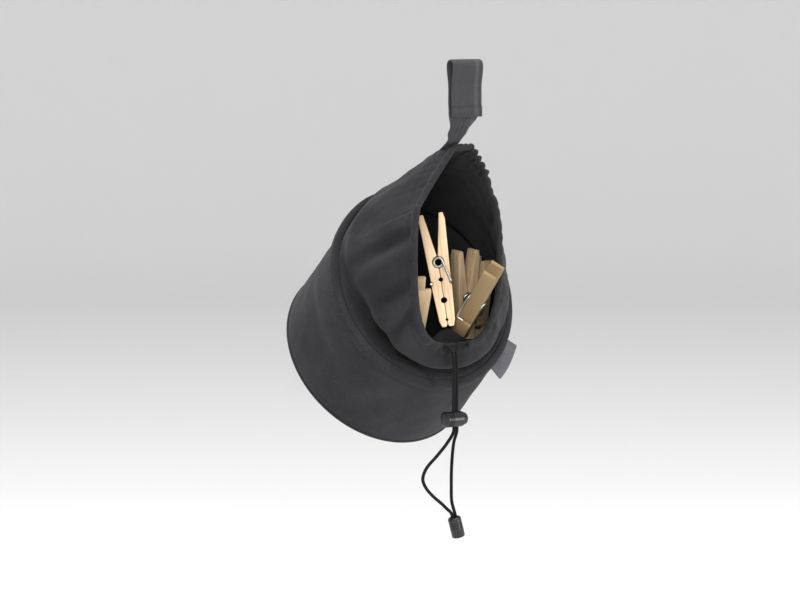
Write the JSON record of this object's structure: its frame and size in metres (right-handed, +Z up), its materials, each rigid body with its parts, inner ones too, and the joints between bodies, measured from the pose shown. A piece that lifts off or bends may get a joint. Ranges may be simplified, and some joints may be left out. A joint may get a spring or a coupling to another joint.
{
  "type": "peg bag",
  "caption": "Round fabric peg bag with a drawstring collar, spring cord lock and hanging strap with a hook-and-loop flap, holding wooden spring pegs.",
  "frame": {"origin": "axis of the rail inside the strap's loop, half way across the strap", "axes": "+Z up, -Y towards the side that the mouth opens to, +X to the right seen from the mouth"},
  "size_m": [0.135, 0.1554, 0.3028],
  "materials": {
    "cloth": "matt woven",
    "thin_cloth": "matt woven",
    "webbing": "woven webbing",
    "cordage": "braided",
    "plastic": "moulded, fine texture",
    "board": "plain sheet",
    "label_cloth": "folded satin tape, blank",
    "wood": "planed, bare",
    "steel": "plated wire"
  },
  "bodies": {
    "strap": {"strap_band": "webbing", "loop_tape": "cordage"},
    "strap_flap": {"strap_flap": "webbing", "hook_tape": "cordage"},
    "bag": {"strap_tail": "webbing", "base_panel": "cloth", "base_board": "board", "bucket_wall": "cloth", "rim_binding": "webbing", "collar": "thin_cloth", "collar_slack": "thin_cloth", "mouth_hem": "thin_cloth", "drawstring": "cordage", "cord_strand_left": "cordage", "cord_strand_right": "cordage", "cord_end_shell": "plastic", "cord_end_plug": "plastic", "label_tag": "label_cloth"},
    "cord_lock": {"cord_lock_barrel": "plastic", "cord_lock_spring": "steel"},
    "cord_lock_plunger": {"cord_lock_plunger": "plastic"},
    "peg_1": {"peg_1_leg_fixed": "wood", "peg_1_spring": "steel"},
    "peg_1_lever": {"peg_1_leg_moving": "wood"},
    "peg_2": {"peg_2_leg_fixed": "wood", "peg_2_spring": "steel"},
    "peg_2_lever": {"peg_2_leg_moving": "wood"},
    "peg_3": {"peg_3_leg_fixed": "wood", "peg_3_spring": "steel"},
    "peg_3_lever": {"peg_3_leg_moving": "wood"},
    "peg_4": {"peg_4_leg_fixed": "wood", "peg_4_spring": "steel"},
    "peg_4_lever": {"peg_4_leg_moving": "wood"},
    "peg_5": {"peg_5_leg_fixed": "wood", "peg_5_spring": "steel"},
    "peg_5_lever": {"peg_5_leg_moving": "wood"}
  },
  "joints": [
    {"name": "flap_open", "type": "hinge", "parent": "strap", "child": "strap_flap", "pos_m": [0, -0.0038, 0], "axis": [-1, 0, 0], "range_deg": [0, 150]},
    {"name": "bag_swing", "type": "hinge", "parent": "strap", "child": "bag", "pos_m": [0, 0.0095, -0.0433], "axis": [1, 0, 0], "range_deg": [0, 25]},
    {"name": "cord_lock_slide", "type": "slide", "parent": "bag", "child": "cord_lock", "axis": [0, 0, 1], "range_m": [0, 0.018]},
    {"name": "plunger_press", "type": "slide", "parent": "cord_lock", "child": "cord_lock_plunger", "axis": [-1, 0, 0], "range_m": [0, 0.0016], "stiffness_N_per_m": 800, "deforming": ["cord_lock_spring"]},
    {"name": "peg_1_lift", "type": "slide", "parent": "bag", "child": "peg_1", "axis": [-0.0767, 0.1576, 0.9845], "range_m": [0, 0.022]},
    {"name": "peg_1_squeeze", "type": "hinge", "parent": "peg_1", "child": "peg_1_lever", "pos_m": [-0.00314, 0.02446, -0.12475], "axis": [0.575, 0.8137, -0.0854], "range_deg": [0, 8], "stiffness_Nm_per_rad": 0.3, "deforming": ["peg_1_spring"]},
    {"name": "peg_2_lift", "type": "slide", "parent": "bag", "child": "peg_2", "axis": [-0.0329, -0.1001, 0.9944], "range_m": [0, 0.02]},
    {"name": "peg_2_squeeze", "type": "hinge", "parent": "peg_2", "child": "peg_2_lever", "pos_m": [0.02885, 0.0414, -0.14974], "axis": [-0.0091, 0.995, 0.0999], "range_deg": [0, 8], "stiffness_Nm_per_rad": 0.3, "deforming": ["peg_2_spring"]},
    {"name": "peg_3_lift", "type": "slide", "parent": "bag", "child": "peg_3", "axis": [-0.0222, -0.1666, 0.9858], "range_m": [0, 0.01]},
    {"name": "peg_3_squeeze", "type": "hinge", "parent": "peg_3", "child": "peg_3_lever", "pos_m": [0.04249, 0.04557, -0.15579], "axis": [0.9955, 0.0872, 0.0372], "range_deg": [0, 8], "stiffness_Nm_per_rad": 0.3, "deforming": ["peg_3_spring"]},
    {"name": "peg_4_lift", "type": "slide", "parent": "bag", "child": "peg_4", "axis": [-0.05, -0.6943, 0.7179], "range_m": [0, 0.058]},
    {"name": "peg_4_squeeze", "type": "hinge", "parent": "peg_4", "child": "peg_4_lever", "pos_m": [0.01415, 0.00753, -0.14999], "axis": [0.6124, -0.5891, -0.5271], "range_deg": [0, 8], "stiffness_Nm_per_rad": 0.3, "deforming": ["peg_4_spring"]},
    {"name": "peg_5_lift", "type": "slide", "parent": "bag", "child": "peg_5", "axis": [-0.2198, -0.522, 0.8242], "range_m": [0, 0.016]},
    {"name": "peg_5_squeeze", "type": "hinge", "parent": "peg_5", "child": "peg_5_lever", "pos_m": [-0.01501, 0.0326, -0.16235], "axis": [0.9498, -0.3072, 0.0587], "range_deg": [0, 8], "stiffness_Nm_per_rad": 0.3, "deforming": ["peg_5_spring"]}
  ]
}
